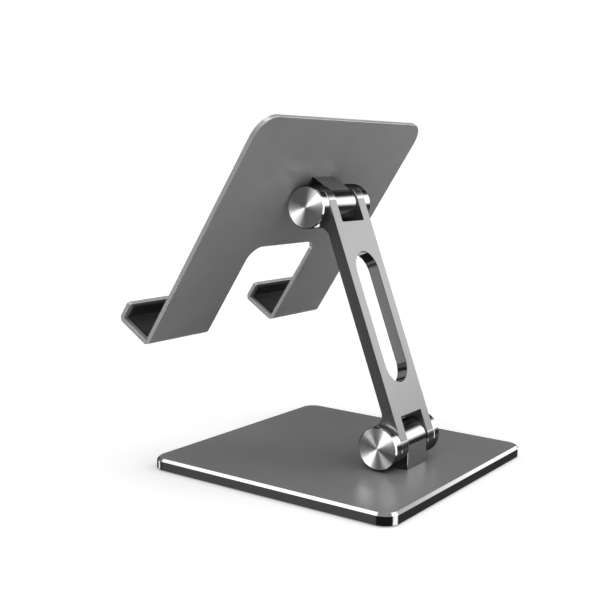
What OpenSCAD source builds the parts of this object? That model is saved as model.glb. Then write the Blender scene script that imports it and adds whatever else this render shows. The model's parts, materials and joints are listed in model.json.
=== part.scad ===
// Folding desk stand for a tablet. A flat base plate carries a hinge block, a fork-ended arm stands on
// that hinge, and a second hinge on the arm's top end carries a bent panel with two hooks.
// Millimetres. The origin is the middle of the base's underside, +Z is up, +Y is the back of the
// stand and +X runs along both hinge axes, to the right of a person who reads the tablet.

/* [Base] */
// Width of the base plate, along the hinge axes
base_w = 145.2; // [110:0.1:200]
// Depth of the base plate, front to back
base_d = 140.9; // [110:0.1:200]
// Thickness of the base plate's metal
base_t = 5.8; // [5:0.1:12]
// Radius of the plate's upright corners
base_corner_r = 8; // [5:0.5:20]
// Bright chamfer around the plate's top edge
base_chamfer = 1.3; // [0.3:0.1:3]
// Distance from the plate's back edge to the lower hinge axis
hinge_inset = 37; // [20:0.5:60]

/* [Base pad] */
// Thickness of the silicone pad under the base
foot_t = 1.2; // [0.8:0.1:2]
// How far the pad stands below the metal
foot_proud = 0.5; // [0.2:0.1:0.7]
// Border of bare metal around the pad
foot_inset = 4; // [2:0.5:15]

/* [Hinges] */
// Radius of the arm's ears
ear_r = 11; // [10:0.1:15]
// Thickness of each ear along the axis
ear_t = 6.8; // [5.5:0.1:10]
// Width of a hinge block between the ears
block_w = 19.6; // [16:0.1:30]
// Radius of the barrel on a hinge block
barrel_r = 10.3; // [8.5:0.1:14]
// Radius of a hinge bolt
bolt_r = 3; // [2.4:0.1:3.6]
// Radial running clearance between bolt and bush
bolt_clear = 0.05; // [0.01:0.01:0.1]
// Wall of the bronze bush in a block
bush_wall = 1.5; // [1:0.1:2]
// Thickness of a friction washer between block and ear
friction_t = 0.4; // [0.2:0.1:1]
// Radius of a friction washer
friction_r = 8.5; // [6.5:0.1:9]
// Gap between the round ears or caps and what they turn over
swing_gap = 0.8; // [0.5:0.1:3]
// Gap from the barrel to the end wall of the fork
fork_gap = 1.3; // [0.5:0.1:4]

/* [Hinge caps] */
// Radius of a turned cap
cap_r = 11; // [10.5:0.1:15]
// Thickness of a cap outside the ear
cap_t = 5.5; // [5:0.1:9]
// Chamfer around a cap's outer face
cap_chamfer = 0.6; // [0.2:0.1:1]
// Wall of a cap behind its face
cap_face_t = 1.4; // [0.8:0.1:1.8]
// Radius of the hollow in a cap
cap_hollow_r = 8; // [7.5:0.1:8.4]
// Wall of the spigot that seats a cap in its ear
spigot_wall = 1; // [0.6:0.1:1.4]
// Length of that spigot
spigot_len = 1.5; // [1:0.1:2.5]
// Radial clearance of a spigot in its counterbore
spigot_clear = 0.03; // [0.01:0.01:0.1]
// Depth of the counterbore in an ear
counterbore_deep = 3; // [2.6:0.1:3.4]

/* [Arm] */
// Distance between the two hinge axes
arm_len = 125.2; // [90:0.1:180]
// Lean of the arm from upright towards the front
arm_lean = 21.6; // [0:0.1:40]
// Thickness of the arm's bar
arm_t = 6.2; // [4:0.1:9]
// Concave fillet where the bar meets a round end
arm_fillet_r = 6; // [2:0.5:12]
// Width of the slot through the bar
slot_w = 20.4; // [8:0.1:26]
// Distance from each hinge axis to the slot's end
slot_margin = 28.1; // [24:0.1:38]

/* [Panel] */
// Width of the panel
panel_w = 151.6; // [120:0.1:220]
// Height of the panel, top edge to the underside of its hooks
panel_h = 134; // [110:0.1:200]
// Thickness of the panel's sheet
panel_t = 2.3; // [2:0.1:4]
// Lean of the panel from upright towards the back
panel_tilt = 31.7; // [0:0.1:60]
// Distance from the panel's top edge down to the upper hinge axis
panel_pivot_drop = 43.6; // [30:0.1:65]
// Radius of the panel's top corners
panel_corner_r = 12; // [4:0.5:25]
// Width of the cut-out between the two legs
cutout_w = 58.6; // [50:0.1:90]
// Distance from the panel's top edge down to the cut-out
cutout_drop = 76.8; // [60:0.1:90]
// Radius of the cut-out's inner corners
cutout_r = 8.5; // [2:0.5:20]

/* [Hooks] */
// Clear depth of a hook, from the panel to its lip
hook_gap = 18; // [14:0.5:30]
// Height of a hook's lip above its shelf
lip_h = 9; // [5:0.5:20]
// Outer radius of the bends
bend_r = 3; // [2.8:0.1:5]

/* [Tablet pads] */
// Thickness of the silicone pads that touch the tablet
pad_t = 1; // [0.5:0.1:2]
// Border of bare metal around the panel's pad
pad_inset = 5; // [2:0.5:15]
// Distance from the underside of the hooks up to the panel pad's lower end
pad_stop = 20; // [16:1:40]
// Border of bare metal at the sides of a hook's pad
hook_pad_inset = 3; // [1:0.5:10]

/* [Screws] */
// Distance between the two screws of a block
screw_pitch = 11; // [9:0.1:12]
// Thread radius of the screws in the base
base_screw_r = 2; // [1.5:0.1:2]
// Thread radius of the screws in the panel
panel_screw_r = 1.5; // [1.2:0.1:1.5]
// Metal left between a tapped hole and the bush
tap_wall = 1.5; // [1:0.1:3]

/* [Hidden] */
$fn = 96;

// Overshoot of a cutting shape past the face it opens
past = 1;
// Radial slack of a screw in its tapped hole, and of a part that is only threaded over a bolt
loose = 0.1;

base_top = foot_proud + base_t;
pivot_rise = max(ear_r, cap_r) + swing_gap;
lower_pivot = [0, base_d / 2 - hinge_inset, base_top + pivot_rise];
upper_pivot = lower_pivot + arm_len * [0, -sin(arm_lean), cos(arm_lean)];

bush_r = bolt_r + bolt_clear + bush_wall;
fork_w = block_w + 2 * friction_t;
arm_w = fork_w + 2 * ear_t;
fork_end = barrel_r + fork_gap;
spigot_r = cap_hollow_r + spigot_wall;
seat_x = arm_w / 2 - counterbore_deep;

// Bolt stack, from each counterbore's floor outwards
washer_t = 0.8;
bolt_head_t = 2.8;
bolt_head_r = 1.75 * bolt_r;
spring_t = 0.5;
spring_cone = 0.35;
spring_r = 2.1 * bolt_r;
nut_t = 3.2;
nut_collar_t = 1;
nut_across_r = 1.9 * bolt_r;
spring_stack = 2 * (spring_t + spring_cone);
bolt_tip = seat_x + spring_stack + nut_t + nut_collar_t;
hex_key_r = 0.95 * bolt_r;
hex_key_deep = 1.6;

// Countersunk screws of thread radius r: the head's radius and height, and its hexagon socket
function head_r(r) = 1.9 * r;
function head_h(r) = head_r(r) - r;
function socket_r(r) = 0.7 * r;
function socket_deep(r) = 0.8 * r;
tap_deep = pivot_rise - bush_r - tap_wall;

// How far short of its vanishing point the web under each of the arm's fillets stops
web_cusp = 0.3;

// The panel in its own frame: the hinge axis is the origin, +y its back and +z its top edge
panel_back = -pivot_rise;
panel_front = panel_back - panel_t;
panel_top = panel_pivot_drop;
panel_foot = panel_top - panel_h;
lip_front = panel_front - hook_gap - panel_t;
leg_w = (panel_w - cutout_w) / 2;
shelf_top = panel_foot + panel_t;
inner_bend_r = bend_r - panel_t;

// Carries a profile drawn in (y, z) along X, centred
module along_x(width) {
    rotate([90, 0, 90])
        linear_extrude(width, center = true)
            children();
}

// A round bar on the X axis from x0 to x1
module rod(x0, x1, r, fn = 96) {
    translate([x0, 0, 0])
        rotate([0, 90, 0])
            cylinder(h = x1 - x0, r = r, $fn = fn);
}

// A ring on the X axis from x0 to x1
module ring(x0, x1, outer, inner) {
    difference() {
        rod(x0, x1, outer);
        rod(x0 - past, x1 + past, inner);
    }
}

module at_lower() {
    translate(lower_pivot)
        children();
}

module at_upper() {
    translate(upper_pivot)
        children();
}

module in_arm_frame() {
    at_lower()
        rotate([arm_lean, 0, 0])
            children();
}

module in_panel_frame() {
    at_upper()
        rotate([-panel_tilt, 0, 0])
            children();
}

// The two places across a hinge block where its screws stand
module screw_places() {
    for (side = [-1, 1])
        translate([side * screw_pitch / 2, 0, 0])
            children();
}

// Rectangle w by d with corners of radius r
module rounded_rect(w, d, r) {
    square([w - 2 * r, d], center = true);
    square([w, d - 2 * r], center = true);
    for (sx = [-1, 1], sy = [-1, 1])
        translate([sx * (w / 2 - r), sy * (d / 2 - r)])
            circle(r);
}

// Layer of height c that narrows by c all round, on a rounded rectangle w by d
module chamfer_layer(w, d, r, c) {
    along_x(w - 2 * r)
        polygon([[-d / 2, 0], [d / 2, 0], [d / 2 - c, c], [-d / 2 + c, c]]);
    rotate([0, 0, 90])
        along_x(d - 2 * r)
            polygon([[-w / 2, 0], [w / 2, 0], [w / 2 - c, c], [-w / 2 + c, c]]);
    for (sx = [-1, 1], sy = [-1, 1])
        translate([sx * (w / 2 - r), sy * (d / 2 - r), 0])
            cylinder(h = c, r1 = r, r2 = r - c);
}

// Hole for a countersunk screw: the head's seat is at z = 0 and the shank goes up through t
module countersink(r, t) {
    translate([0, 0, -past])
        cylinder(h = t + 2 * past, r = r + loose);
    cylinder(h = head_h(r), r1 = head_r(r), r2 = r);
    translate([0, 0, -past])
        cylinder(h = past, r = head_r(r));
}

// Countersunk screw whose flat head is at z = 0 and whose point is at z = len
module countersunk_screw(r, len) {
    difference() {
        union() {
            cylinder(h = head_h(r), r1 = head_r(r), r2 = r);
            translate([0, 0, head_h(r)])
                cylinder(h = len - head_h(r) - r / 2, r = r);
            translate([0, 0, len - r / 2])
                cylinder(h = r / 2, r1 = r, r2 = r / 2);
        }
        translate([0, 0, -past])
            cylinder(h = past + socket_deep(r), r = socket_r(r), $fn = 6);
    }
}

// --- Base ---

module base_plate() {
    color([0.42, 0.42, 0.43])
        difference() {
            union() {
                translate([0, 0, foot_proud])
                    linear_extrude(base_t - base_chamfer)
                        rounded_rect(base_w, base_d, base_corner_r);
                translate([0, 0, base_top - base_chamfer])
                    chamfer_layer(base_w, base_d, base_corner_r, base_chamfer);
            }
            translate([0, 0, foot_proud - past])
                linear_extrude(foot_t - foot_proud + past)
                    foot_outline();
            translate([0, lower_pivot[1], foot_t])
                screw_places()
                    countersink(base_screw_r, base_top - foot_t);
        }
}

module foot_outline() {
    rounded_rect(base_w - 2 * foot_inset, base_d - 2 * foot_inset, base_corner_r - foot_inset / 2);
}

module base_pad() {
    color([0.1, 0.1, 0.1])
        linear_extrude(foot_t)
            foot_outline();
}

module base_screws() {
    color([0.55, 0.55, 0.57])
        translate([0, lower_pivot[1], foot_t])
            screw_places()
                countersunk_screw(base_screw_r, base_top - foot_t + tap_deep - loose);
}

// --- Hinge parts, all drawn around a hinge axis on X ---

// Block with a round barrel and a square foot that reaches pivot_rise below the axis
module hinge_block(tap_r) {
    difference() {
        union() {
            rod(-block_w / 2, block_w / 2, barrel_r);
            translate([-block_w / 2, -barrel_r, -pivot_rise])
                cube([block_w, 2 * barrel_r, pivot_rise]);
        }
        rod(-block_w / 2 - past, block_w / 2 + past, bush_r);
        translate([0, 0, -pivot_rise - past])
            screw_places()
                cylinder(h = tap_deep + past, r = tap_r + loose);
    }
}

module bush() {
    ring(-block_w / 2, block_w / 2, bush_r, bolt_r + bolt_clear);
}

module hinge_bolt() {
    difference() {
        union() {
            rod(-bolt_tip, seat_x + washer_t, bolt_r);
            rod(seat_x + washer_t, seat_x + washer_t + bolt_head_t, bolt_head_r);
        }
        rod(seat_x + washer_t + bolt_head_t - hex_key_deep, arm_w, hex_key_r, 6);
    }
}

module head_washer() {
    ring(seat_x, seat_x + washer_t, spring_r, bolt_r + loose);
}

module friction_washers() {
    for (side = [0, 1])
        mirror([side, 0, 0])
            ring(block_w / 2, fork_w / 2, friction_r, bolt_r + loose);
}

// One dished washer: the inner edge is at x = 0 and the outer edge stands spring_cone further out
module disc_spring() {
    rotate([0, 90, 0])
        rotate_extrude()
            polygon([
                [bolt_r + loose, 0], [spring_r, spring_cone],
                [spring_r, spring_cone + spring_t], [bolt_r + loose, spring_t]
            ]);
}

module disc_springs() {
    mirror([1, 0, 0])
        translate([seat_x, 0, 0]) {
            disc_spring();
            translate([spring_stack, 0, 0])
                mirror([1, 0, 0])
                    disc_spring();
        }
}

module lock_nut() {
    mirror([1, 0, 0])
        translate([seat_x + spring_stack, 0, 0])
            difference() {
                union() {
                    rod(0, nut_t, nut_across_r, 6);
                    rod(nut_t, nut_t + nut_collar_t, 1.5 * bolt_r);
                }
                rod(-past, nut_t + nut_collar_t + past, bolt_r + bolt_clear);
            }
}

// Turned cap on the +X ear: a cup with a chamfered rim and a spigot that seats in the counterbore
module cap() {
    x0 = arm_w / 2;
    x1 = x0 + cap_t;
    rotate([0, 90, 0])
        rotate_extrude()
            polygon([
                [0, x1 - cap_face_t], [cap_hollow_r, x1 - cap_face_t], [cap_hollow_r, x0 - spigot_len],
                [spigot_r, x0 - spigot_len], [spigot_r, x0], [cap_r, x0],
                [cap_r, x1 - cap_chamfer], [cap_r - cap_chamfer, x1], [0, x1]
            ]);
}

module right_cap() {
    cap();
}

module left_cap() {
    mirror([1, 0, 0])
        cap();
}

// --- Arm, in its own frame: +z from the lower axis to the upper one, +y its back ---

// Side view of the bar in (y, z): its back is flush with the round ends' backs, and its front runs out
// onto each round end in a concave fillet
module bar_profile() {
    bar_front = ear_r - arm_t;
    dy = bar_front - arm_fillet_r;
    dz = sqrt(pow(ear_r + arm_fillet_r, 2) - dy * dy);
    difference() {
        polygon([
            [web_cusp, 0], [dy + web_cusp, dz], [bar_front, dz], [bar_front, arm_len - dz],
            [dy + web_cusp, arm_len - dz], [web_cusp, arm_len], [ear_r, arm_len], [ear_r, 0]
        ]);
        for (z = [dz, arm_len - dz])
            translate([dy, z])
                circle(arm_fillet_r);
    }
}

// Fork gap, bolt hole and counterbores of the end at the origin
module fork_cuts() {
    translate([-fork_w / 2, -2 * ear_r, -2 * ear_r])
        cube([fork_w, 4 * ear_r, 2 * ear_r + fork_end]);
    rod(-arm_w, arm_w, bolt_r + loose);
    for (side = [0, 1])
        mirror([side, 0, 0])
            rod(seat_x, arm_w, spigot_r + spigot_clear);
}

module slot_cut() {
    rotate([-90, 0, 0])
        linear_extrude(2 * ear_r)
            union() {
                for (z = [slot_margin + slot_w / 2, arm_len - slot_margin - slot_w / 2])
                    translate([0, -z])
                        circle(slot_w / 2);
                translate([-slot_w / 2, slot_margin + slot_w / 2 - arm_len])
                    square([slot_w, arm_len - 2 * slot_margin - slot_w]);
            }
}

module arm() {
    color([0.62, 0.62, 0.63])
        in_arm_frame()
            difference() {
                union() {
                    along_x(arm_w)
                        bar_profile();
                    for (z = [0, arm_len])
                        translate([0, 0, z])
                            rod(-arm_w / 2, arm_w / 2, ear_r);
                }
                fork_cuts();
                translate([0, 0, arm_len])
                    mirror([0, 0, 1])
                        fork_cuts();
                slot_cut();
            }
}

// --- Panel, in its own frame ---

// Outline of the flat sheet in (x, z), down to the start of the bends
module sheet_outline(inset, foot) {
    half_w = panel_w / 2 - inset;
    top = panel_top - inset;
    corner = panel_corner_r - inset / 2;
    cut_half = cutout_w / 2 + inset;
    cut_top = panel_top - cutout_drop + inset;
    difference() {
        union() {
            translate([-half_w, foot])
                square([2 * half_w, top - corner - foot]);
            translate([-half_w + corner, foot])
                square([2 * (half_w - corner), top - foot]);
            for (side = [-1, 1])
                translate([side * (half_w - corner), top - corner])
                    circle(corner);
        }
        translate([-cut_half, foot - past])
            square([2 * cut_half, cut_top - cutout_r - foot + past]);
        translate([-cut_half + cutout_r, foot - past])
            square([2 * (cut_half - cutout_r), cut_top - foot + past]);
        for (side = [-1, 1])
            translate([side * (cut_half - cutout_r), cut_top - cutout_r])
                circle(cutout_r);
    }
}

// A sheet of thickness t whose back is at y = back
module sheet(back, t, inset, foot) {
    translate([0, back, 0])
        rotate([90, 0, 0])
            linear_extrude(t)
                sheet_outline(inset, foot);
}

// Quarter of a bend in (y, z) around the origin, turned by an angle
module bend(angle) {
    rotate(angle)
        difference() {
            intersection() {
                circle(bend_r);
                square(bend_r);
            }
            circle(inner_bend_r);
        }
}

// Section of a hook in (y, z): bend, shelf, bend and upturned lip
module hook_section() {
    translate([panel_back - bend_r, panel_foot + bend_r])
        bend(-90);
    translate([lip_front + bend_r, panel_foot])
        square([panel_back - lip_front - 2 * bend_r, panel_t]);
    translate([lip_front + bend_r, panel_foot + bend_r])
        bend(180);
    translate([lip_front, panel_foot + bend_r])
        square([panel_t, shelf_top + lip_h - panel_foot - bend_r]);
}

module on_both_legs() {
    for (side = [-1, 1])
        translate([side * (cutout_w + leg_w) / 2, 0, 0])
            children();
}

// Turns a screw or a hole for one so that it goes in from the panel's front
module from_panel_front() {
    translate([0, panel_front, 0])
        rotate([-90, 0, 0])
            children();
}

module panel() {
    color([0.42, 0.42, 0.43])
        in_panel_frame()
            difference() {
                union() {
                    sheet(panel_back, panel_t, 0, panel_foot + bend_r);
                    on_both_legs()
                        along_x(leg_w)
                            hook_section();
                }
                from_panel_front()
                    screw_places()
                        countersink(panel_screw_r, panel_t);
            }
}

module panel_screws() {
    color([0.55, 0.55, 0.57])
        in_panel_frame()
            from_panel_front()
                screw_places()
                    countersunk_screw(panel_screw_r, panel_t + tap_deep - loose);
}

module panel_pad() {
    color([0.1, 0.1, 0.1])
        in_panel_frame()
            sheet(panel_front, pad_t, pad_inset, panel_foot + pad_stop);
}

// Angle of silicone along a hook's shelf and up its lip, clear of the bends' inner radii
module hook_pad_section() {
    lip_back = lip_front + panel_t;
    lip_top = shelf_top + lip_h - 1;
    corner = inner_bend_r + 0.2;
    polygon([
        [panel_front - corner, shelf_top], [lip_back + corner, shelf_top],
        [lip_back, shelf_top + corner], [lip_back, lip_top], [lip_back + pad_t, lip_top],
        [lip_back + pad_t, shelf_top + pad_t], [panel_front - corner, shelf_top + pad_t]
    ]);
}

module hook_pads() {
    color([0.1, 0.1, 0.1])
        in_panel_frame()
            on_both_legs()
                along_x(leg_w - 2 * hook_pad_inset)
                    hook_pad_section();
}

// --- Lower hinge ---

module lower_hinge_block() { color([0.3, 0.3, 0.31]) at_lower() hinge_block(base_screw_r); }
module lower_bush() { color([0.7, 0.5, 0.3]) at_lower() bush(); }
module lower_bolt() { color([0.5, 0.5, 0.52]) at_lower() hinge_bolt(); }
module lower_head_washer() { color([0.6, 0.6, 0.62]) at_lower() head_washer(); }
module lower_friction_washers() { color([0.85, 0.85, 0.8]) at_lower() friction_washers(); }
module lower_disc_springs() { color([0.4, 0.4, 0.45]) at_lower() disc_springs(); }
module lower_lock_nut() { color([0.55, 0.55, 0.6]) at_lower() lock_nut(); }
module lower_right_cap() { color([0.8, 0.8, 0.82]) at_lower() right_cap(); }
module lower_left_cap() { color([0.8, 0.8, 0.82]) at_lower() left_cap(); }

// --- Upper hinge ---

module upper_hinge_block() {
    color([0.3, 0.3, 0.31])
        in_panel_frame()
            rotate([-90, 0, 0])
                hinge_block(panel_screw_r);
}

module upper_bush() { color([0.7, 0.5, 0.3]) at_upper() bush(); }
module upper_bolt() { color([0.5, 0.5, 0.52]) at_upper() hinge_bolt(); }
module upper_head_washer() { color([0.6, 0.6, 0.62]) at_upper() head_washer(); }
module upper_friction_washers() { color([0.85, 0.85, 0.8]) at_upper() friction_washers(); }
module upper_disc_springs() { color([0.4, 0.4, 0.45]) at_upper() disc_springs(); }
module upper_lock_nut() { color([0.55, 0.55, 0.6]) at_upper() lock_nut(); }
module upper_right_cap() { color([0.8, 0.8, 0.82]) at_upper() right_cap(); }
module upper_left_cap() { color([0.8, 0.8, 0.82]) at_upper() left_cap(); }

base_plate();
base_pad();
base_screws();
lower_hinge_block();
lower_bush();
arm();
lower_bolt();
lower_head_washer();
lower_friction_washers();
lower_disc_springs();
lower_lock_nut();
lower_right_cap();
lower_left_cap();
upper_bolt();
upper_head_washer();
upper_friction_washers();
upper_disc_springs();
upper_lock_nut();
upper_right_cap();
upper_left_cap();
panel();
upper_hinge_block();
upper_bush();
panel_screws();
panel_pad();
hook_pads();
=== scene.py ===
# %% [markdown]
# # A folding desk stand for a tablet
# This lesson dresses a finished mechanical design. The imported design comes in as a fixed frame: every
# part already has its place, its size and the body it moves with. Blender adds what the eye looks for,
# which is rounded edges, real machining marks and metal that answers the light. Loading comes first,
# because every later cell takes its places from the frame and never from a guess.

# %% Load the frame
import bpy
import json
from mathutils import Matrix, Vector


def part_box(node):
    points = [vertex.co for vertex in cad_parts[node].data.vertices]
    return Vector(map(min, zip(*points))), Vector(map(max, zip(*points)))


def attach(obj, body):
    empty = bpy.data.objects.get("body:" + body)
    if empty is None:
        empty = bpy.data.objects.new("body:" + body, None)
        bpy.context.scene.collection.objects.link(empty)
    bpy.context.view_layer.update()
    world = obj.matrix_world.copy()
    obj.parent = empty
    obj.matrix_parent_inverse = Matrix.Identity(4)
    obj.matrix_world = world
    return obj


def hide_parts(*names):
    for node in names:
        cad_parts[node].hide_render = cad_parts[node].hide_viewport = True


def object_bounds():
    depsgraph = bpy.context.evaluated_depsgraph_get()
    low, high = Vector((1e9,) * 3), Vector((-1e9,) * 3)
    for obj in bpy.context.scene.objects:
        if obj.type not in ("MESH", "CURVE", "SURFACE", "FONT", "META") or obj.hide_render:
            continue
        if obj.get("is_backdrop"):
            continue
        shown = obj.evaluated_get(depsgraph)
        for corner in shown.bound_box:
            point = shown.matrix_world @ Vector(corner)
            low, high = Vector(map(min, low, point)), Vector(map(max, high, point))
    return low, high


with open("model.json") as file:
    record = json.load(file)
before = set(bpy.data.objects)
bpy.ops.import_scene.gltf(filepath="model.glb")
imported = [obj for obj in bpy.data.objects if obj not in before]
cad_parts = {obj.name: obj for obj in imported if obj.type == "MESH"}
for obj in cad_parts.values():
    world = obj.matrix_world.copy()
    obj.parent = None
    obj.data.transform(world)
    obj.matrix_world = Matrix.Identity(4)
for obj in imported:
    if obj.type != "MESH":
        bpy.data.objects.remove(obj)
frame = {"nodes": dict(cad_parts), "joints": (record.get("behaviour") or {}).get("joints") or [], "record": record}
cad_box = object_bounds()

# %% Tools for the lesson
import json
import math

import bmesh
import bpy
from mathutils import Matrix, Vector
from mathutils.geometry import delaunay_2d_cdt, tessellate_polygon

MM = 0.001
scene = bpy.context.scene
print("one millimetre is", MM, "of Blender's metres")

# %% [markdown]
# ## Places
# The stand has two hinges, and both turn about lines that run along X. Each moving part is easiest to
# draw in a frame of its own, with the hinge line as its origin. The arm's frame has its Z along the
# arm. The panel's frame has its Y square to the sheet. Both leans are worked out from the design: the
# arm's from its two hinge lines, and the panel's from the face that the tablet rests on.

# %% Hinge frames
pivot = {j["name"]: Vector(j["pos_m"]) for j in frame["joints"]}
lower_axis = pivot["lower_hinge"]
upper_axis = pivot["upper_hinge"]
mount = {m["name"]: m for m in frame["record"]["mounts"]}


def turned_frame(origin, lean):
    """A frame at origin whose Z leans towards -Y by this angle."""
    return Matrix.Translation(origin) @ Matrix.Rotation(lean, 4, "X")


along_arm = upper_axis - lower_axis
arm_length = along_arm.length
rest_normal = Vector(mount["tablet_back_rest"]["axis"])
base_frame = Matrix.Identity(4)
lower_frame = Matrix.Translation(lower_axis)
arm_lean = math.atan2(-along_arm.y, along_arm.z)
panel_lean = -math.atan2(rest_normal.z, -rest_normal.y)
arm_frame = turned_frame(lower_axis, arm_lean)
panel_frame = turned_frame(upper_axis, panel_lean)
block_frame = panel_frame @ Matrix.Rotation(math.radians(-90), 4, "X")
print("arm length in mm:", round(arm_length / MM, 2))

# %% [markdown]
# ## Camera
# The camera stands behind the stand and to its right, a little above the upper hinge, and looks down
# by about eight degrees. A lens of 63 mm keeps the base's edges close to parallel, as a product camera
# does from half a metre or so. The frame is rolled by just over a degree.

# %% Camera
camera_place = Vector((0.4558, 0.2832, 0.1646))
camera_look = Vector((-0.81533, -0.56049, -0.14525)).normalized()
camera_roll = math.radians(1.343)


def camera_matrix(place, look, roll):
    """A camera's matrix from its place, its line of sight and its roll."""
    level = look.cross(Vector((0, 0, 1))).normalized()
    upright = level.cross(look)
    right = level * math.cos(roll) + upright * math.sin(roll)
    up = right.cross(look)
    turn = Matrix((right, up, -look)).transposed()
    return Matrix.Translation(place) @ turn.to_4x4()


lens = bpy.data.cameras.new("camera")
lens.lens = 62.75
lens.sensor_width = 36
lens.clip_start = 0.01
camera = bpy.data.objects.new("camera", lens)
camera.matrix_world = camera_matrix(camera_place, camera_look, camera_roll)
scene.collection.objects.link(camera)
scene.camera = camera
scene.view_settings.view_transform = "Standard"
print("camera is", round(camera_place.length, 3), "m from the origin")

# %% [markdown]
# ## Drawing in the flat
# Nearly every piece here starts as a flat outline: a plate, a sheet, or the side view of the arm.
# Blender's own primitives could be scaled and cut for this, but they leave uneven edges. Outlines made
# of straight runs and true arcs keep each corner's radius exact, so the helpers below draw those.
# `step_in` moves an outline sideways into the metal, and that is what makes rounded edges later.


# %% Outlines
def arc(centre, radius, start, end, steps=16):
    """Points on an arc, in degrees, from start to end, with both ends included."""
    turn = [math.radians(start + (end - start) * i / steps) for i in range(steps + 1)]
    return [Vector((centre[0] + radius * math.cos(a), centre[1] + radius * math.sin(a))) for a in turn]


def circle(centre, radius, steps=64):
    """A whole circle, counter-clockwise."""
    return arc(centre, radius, 0, 360, steps)[:-1]


def rounded_rectangle(width, depth, radius, steps=16):
    """A rectangle round the origin with round corners, counter-clockwise."""
    x = width / 2 - radius
    y = depth / 2 - radius
    corners = [(x, y, 0), (-x, y, 90), (-x, -y, 180), (x, -y, 270)]
    return [p for cx, cy, a in corners for p in arc((cx, cy), radius, a, a + 90, steps)]


def step_in(outline, distance):
    """The outline moved to its left, which is into the metal if it runs counter-clockwise."""
    moved = []
    count = len(outline)
    for i, here in enumerate(outline):
        before = (here - outline[i - 1]).normalized()
        after = (outline[(i + 1) % count] - here).normalized()
        left_a = Vector((-before.y, before.x))
        left_b = Vector((-after.y, after.x))
        moved.append(here + (left_a + left_b) * distance / (1 + left_a.dot(left_b)))
    return moved


print("a quarter arc has", len(arc((0, 0), 1, 0, 90)), "points")

# %% [markdown]
# ## From an outline to a solid
# A machined edge is never a knife edge, and it is the thin bright line along it that makes a render
# look like metal. A bevel modifier can add it, but a stack of layers gives full control: each layer is
# the outline, stepped in by some amount, at some height. A quarter circle of layers is a round edge,
# and a single long step is a chamfer. The end faces are filled with triangles, which lie flat.


# %% Solids from layers
same_point = 1e-7  # points closer than this, in metres, are one point
sharp_angle = math.radians(35)


def round_edge(radius, height, outward, steps=3):
    """Layers (inset, height) of a rounded edge that ends at this height, going up or down to it."""
    layers = []
    for i in range(steps + 1):
        a = math.radians(90 * i / steps)
        layers.append((radius * (1 - math.cos(a)), height - outward * radius * (1 - math.sin(a))))
    return layers


def plate_layers(low, high, edge):
    """Layers of a plate from low to high whose edges are all rounded."""
    return round_edge(edge, low, -1)[::-1] + round_edge(edge, high, 1)


def wall_faces(first, count, layers):
    """The quads that join each layer's loop of points to the next one, as (step, quad)."""
    quads = []
    for step in range(len(layers) - 1):
        for i in range(count):
            a = first + step * count + i
            b = first + step * count + (i + 1) % count
            quads.append((step, (a, b, b + count, a + count)))
    return quads


def finish_mesh(name, points, faces, slots, place, materials):
    """Makes the object from its faces and shades it smooth but for its sharp edges."""
    mesh = bpy.data.meshes.new(name)
    mesh.from_pydata(points, [], faces)
    mesh.polygons.foreach_set("material_index", slots)
    mesh.transform(place)
    shape = bmesh.new()
    shape.from_mesh(mesh)
    bmesh.ops.remove_doubles(shape, verts=shape.verts, dist=same_point)
    bmesh.ops.recalc_face_normals(shape, faces=shape.faces)
    shape.to_mesh(mesh)
    shape.free()
    mesh.shade_smooth()
    mesh.set_sharp_from_angle(angle=sharp_angle)
    for material in materials:
        mesh.materials.append(material)
    made = bpy.data.objects.new(name, mesh)
    scene.collection.objects.link(made)
    return made


def layered_solid(name, outlines, layers, place, materials, finish_of=None, to_3d=None):
    """A solid through the layers. The first outline is the outside and the others are holes.

    finish_of gives a material slot to each step between layers, to -1 for the first end face and to
    -2 for the last.
    """
    finish_of = finish_of or (lambda layer: 0)
    to_3d = to_3d or (lambda p, h: (p.x, p.y, h))
    points = []
    faces = []
    slots = []
    ends = []
    for outline in outlines:
        count = len(outline)
        first = len(points)
        for inset, height in layers:
            points += [to_3d(p, height) for p in step_in(outline, inset)]
        for step, quad in wall_faces(first, count, layers):
            faces.append(quad)
            slots.append(finish_of(step))
        ends.append((first, first + (len(layers) - 1) * count, count))
    for end in (0, 1):
        index = [e[end] + i for e in ends for i in range(e[2])]
        inset = layers[-end][0]
        loops = [[p.to_3d() for p in step_in(outline, inset)] for outline in outlines]
        if len(loops) == 1:
            faces.append(index)
            slots.append(finish_of(-1 - end))
            continue
        for triangle in tessellate_polygon(loops):
            faces.append([index[i] for i in triangle])
            slots.append(finish_of(-1 - end))
    return finish_mesh(name, points, faces, slots, place, materials)


def across(p, h):
    """Turns an outline drawn in (y, z) so that its layers run along X."""
    return (h, p.x, p.y)


print("layers of a 2 mm plate with a 0.3 mm edge:", len(plate_layers(0, 2 * MM, 0.3 * MM)))

# %% [markdown]
# ## Cutting and turning
# Bores, slots and countersinks are cut by Boolean modifiers, which are applied at once so that the
# mesh is final. Turned parts, such as the caps, are a profile swept round the hinge line. A lathe does
# the same, and points on the line itself become a single vertex, so no face is folded on itself.


# %% Cuts and turned parts
sliver = 0.002 * MM
overrun = 1 * MM  # how far a cutting tool runs past the face that it cuts


def apply_modifiers(piece):
    """Bakes the piece's modifiers into its mesh."""
    graph = bpy.context.evaluated_depsgraph_get()
    final = bpy.data.meshes.new_from_object(piece.evaluated_get(graph))
    piece.modifiers.clear()
    piece.data = final


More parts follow.
